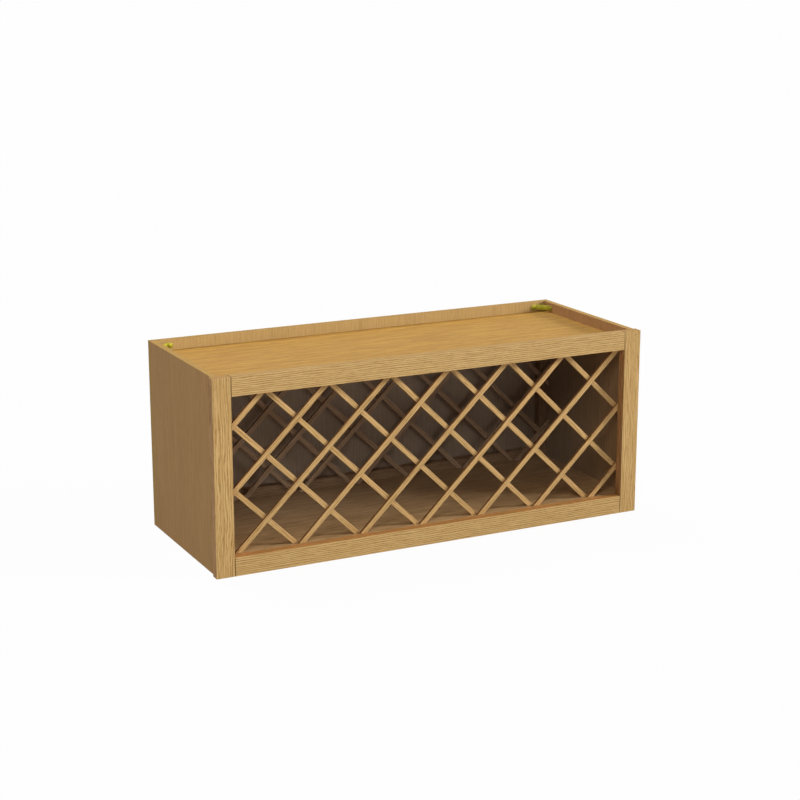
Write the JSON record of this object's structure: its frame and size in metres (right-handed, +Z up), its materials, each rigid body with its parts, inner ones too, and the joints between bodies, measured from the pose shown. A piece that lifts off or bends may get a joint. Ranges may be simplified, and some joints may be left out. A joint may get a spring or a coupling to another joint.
{
  "type": "wine cabinet",
  "caption": "Open-fronted oak wall cabinet with a framed front, a sunk top and diagonal slat lattices that hold bottles lying down.",
  "frame": {"origin": "middle of the footprint, on the plane of the lower edges", "axes": "+X to the right along the width, +Y from the front to the back panel, +Z up"},
  "size_m": [0.9144, 0.356, 0.378],
  "materials": {
    "solid_oak": "light golden oak, satin clear lacquer",
    "oak_plywood": "oak-veneered plywood, satin clear lacquer",
    "oak_slat": "planed oak slat, satin clear lacquer",
    "yellow_zinc": "steel with yellow zinc plating, semi-bright"
  },
  "bodies": {
    "root": {"stile_left": "solid_oak", "stile_right": "solid_oak", "rail_bottom": "solid_oak", "rail_top": "solid_oak", "side_left": "oak_plywood", "side_right": "oak_plywood", "panel_bottom": "oak_plywood", "panel_top": "oak_plywood", "back": "oak_plywood", "cleat_bottom": "oak_slat", "cleat_top": "oak_slat", "cleat_left": "oak_slat", "cleat_right": "oak_slat", "front_slat_rising_1": "oak_slat", "front_slat_rising_2": "oak_slat", "front_slat_rising_3": "oak_slat", "front_slat_rising_4": "oak_slat", "front_slat_rising_5": "oak_slat", "front_slat_rising_6": "oak_slat", "front_slat_rising_7": "oak_slat", "front_slat_rising_8": "oak_slat", "front_slat_rising_9": "oak_slat", "front_slat_falling_1": "oak_slat", "front_slat_falling_2": "oak_slat", "front_slat_falling_3": "oak_slat", "front_slat_falling_4": "oak_slat", "front_slat_falling_5": "oak_slat", "front_slat_falling_6": "oak_slat", "front_slat_falling_7": "oak_slat", "front_slat_falling_8": "oak_slat", "rear_slat_rising_1": "oak_slat", "rear_slat_rising_2": "oak_slat", "rear_slat_rising_3": "oak_slat", "rear_slat_rising_4": "oak_slat", "rear_slat_rising_5": "oak_slat", "rear_slat_rising_6": "oak_slat", "rear_slat_rising_7": "oak_slat", "rear_slat_rising_8": "oak_slat", "rear_slat_rising_9": "oak_slat", "rear_slat_falling_1": "oak_slat", "rear_slat_falling_2": "oak_slat", "rear_slat_falling_3": "oak_slat", "rear_slat_falling_4": "oak_slat", "rear_slat_falling_5": "oak_slat", "rear_slat_falling_6": "oak_slat", "rear_slat_falling_7": "oak_slat", "rear_slat_falling_8": "oak_slat", "brace_left": "yellow_zinc", "brace_right": "yellow_zinc", "brace_screw_left_side": "yellow_zinc", "brace_screw_left_back": "yellow_zinc", "brace_screw_right_side": "yellow_zinc", "brace_screw_right_back": "yellow_zinc"}
  },
  "joints": []
}
